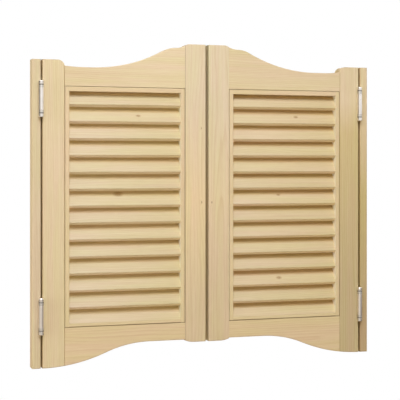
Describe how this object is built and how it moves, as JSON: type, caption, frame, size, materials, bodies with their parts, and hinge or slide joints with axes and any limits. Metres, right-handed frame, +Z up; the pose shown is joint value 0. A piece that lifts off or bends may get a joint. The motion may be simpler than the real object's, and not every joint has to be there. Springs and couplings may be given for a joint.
{
  "type": "cafe swinging doors",
  "caption": "Pair of louvred cafe doors with scrolled head and foot rails, hung on wall strips by double-action spring hinges.",
  "frame": {"origin": "middle of the doorway's width, middle of the leaves' thickness, at the foot of the hanging strips", "axes": "+X to the right seen from the front, +Y to the rear, +Z up; the slats' low edges are at the front"},
  "size_m": [0.914, 0.062, 0.8185],
  "materials": {
    "frame_pine": "planed and unfinished",
    "strip_pine": "planed and unfinished",
    "louvre_pine": "planed and unfinished",
    "slat_pine": "planed and unfinished",
    "satin_nickel": "satin nickel plate",
    "pin_steel": "bright drawn",
    "spring_steel": "oiled spring steel"
  },
  "bodies": {
    "hanging_strips": {"left_hanging_strip": "strip_pine", "right_hanging_strip": "strip_pine", "strip_flanges": "satin_nickel"},
    "left_webs": {"left_hinge_webs": "satin_nickel", "left_hinge_pins": "pin_steel", "left_hinge_springs": "spring_steel", "left_hinge_collars": "satin_nickel"},
    "left_leaf": {"left_outer_stile": "frame_pine", "left_meeting_stile": "frame_pine", "left_top_rail": "frame_pine", "left_bottom_rail": "frame_pine", "left_louvre_inner_strip": "louvre_pine", "left_louvre_outer_strip": "louvre_pine", "left_louvre_head_strip": "louvre_pine", "left_louvre_foot_strip": "louvre_pine", "left_slat_01": "slat_pine", "left_slat_02": "slat_pine", "left_slat_03": "slat_pine", "left_slat_04": "slat_pine", "left_slat_05": "slat_pine", "left_slat_06": "slat_pine", "left_slat_07": "slat_pine", "left_slat_08": "slat_pine", "left_slat_09": "slat_pine", "left_slat_10": "slat_pine", "left_slat_11": "slat_pine", "left_slat_12": "slat_pine", "left_slat_13": "slat_pine", "left_slat_14": "slat_pine", "left_leaf_flanges": "satin_nickel"},
    "right_webs": {"right_hinge_webs": "satin_nickel", "right_hinge_pins": "pin_steel", "right_hinge_springs": "spring_steel", "right_hinge_collars": "satin_nickel"},
    "right_leaf": {"right_outer_stile": "frame_pine", "right_meeting_stile": "frame_pine", "right_top_rail": "frame_pine", "right_bottom_rail": "frame_pine", "right_louvre_inner_strip": "louvre_pine", "right_louvre_outer_strip": "louvre_pine", "right_louvre_head_strip": "louvre_pine", "right_louvre_foot_strip": "louvre_pine", "right_slat_01": "slat_pine", "right_slat_02": "slat_pine", "right_slat_03": "slat_pine", "right_slat_04": "slat_pine", "right_slat_05": "slat_pine", "right_slat_06": "slat_pine", "right_slat_07": "slat_pine", "right_slat_08": "slat_pine", "right_slat_09": "slat_pine", "right_slat_10": "slat_pine", "right_slat_11": "slat_pine", "right_slat_12": "slat_pine", "right_slat_13": "slat_pine", "right_slat_14": "slat_pine", "right_leaf_flanges": "satin_nickel"}
  },
  "joints": [
    {"name": "left_front_swing", "type": "hinge", "parent": "hanging_strips", "child": "left_webs", "pos_m": [-0.436, -0.0245, 0.385], "axis": [0, 0, -1], "range_deg": [0, 90], "stiffness_Nm_per_rad": 2.5, "springref_deg": -17.19},
    {"name": "left_rear_swing", "type": "hinge", "parent": "left_webs", "child": "left_leaf", "pos_m": [-0.4314, 0.0245, 0.385], "axis": [0, 0, 1], "range_deg": [0, 90], "stiffness_Nm_per_rad": 2.5, "springref_deg": -17.19},
    {"name": "right_rear_swing", "type": "hinge", "parent": "hanging_strips", "child": "right_webs", "pos_m": [0.436, 0.0245, 0.385], "axis": [0, 0, -1], "range_deg": [0, 90], "stiffness_Nm_per_rad": 2.5, "springref_deg": -17.19},
    {"name": "right_front_swing", "type": "hinge", "parent": "right_webs", "child": "right_leaf", "pos_m": [0.4314, -0.0245, 0.385], "axis": [0, 0, 1], "range_deg": [0, 90], "stiffness_Nm_per_rad": 2.5, "springref_deg": -17.19}
  ]
}
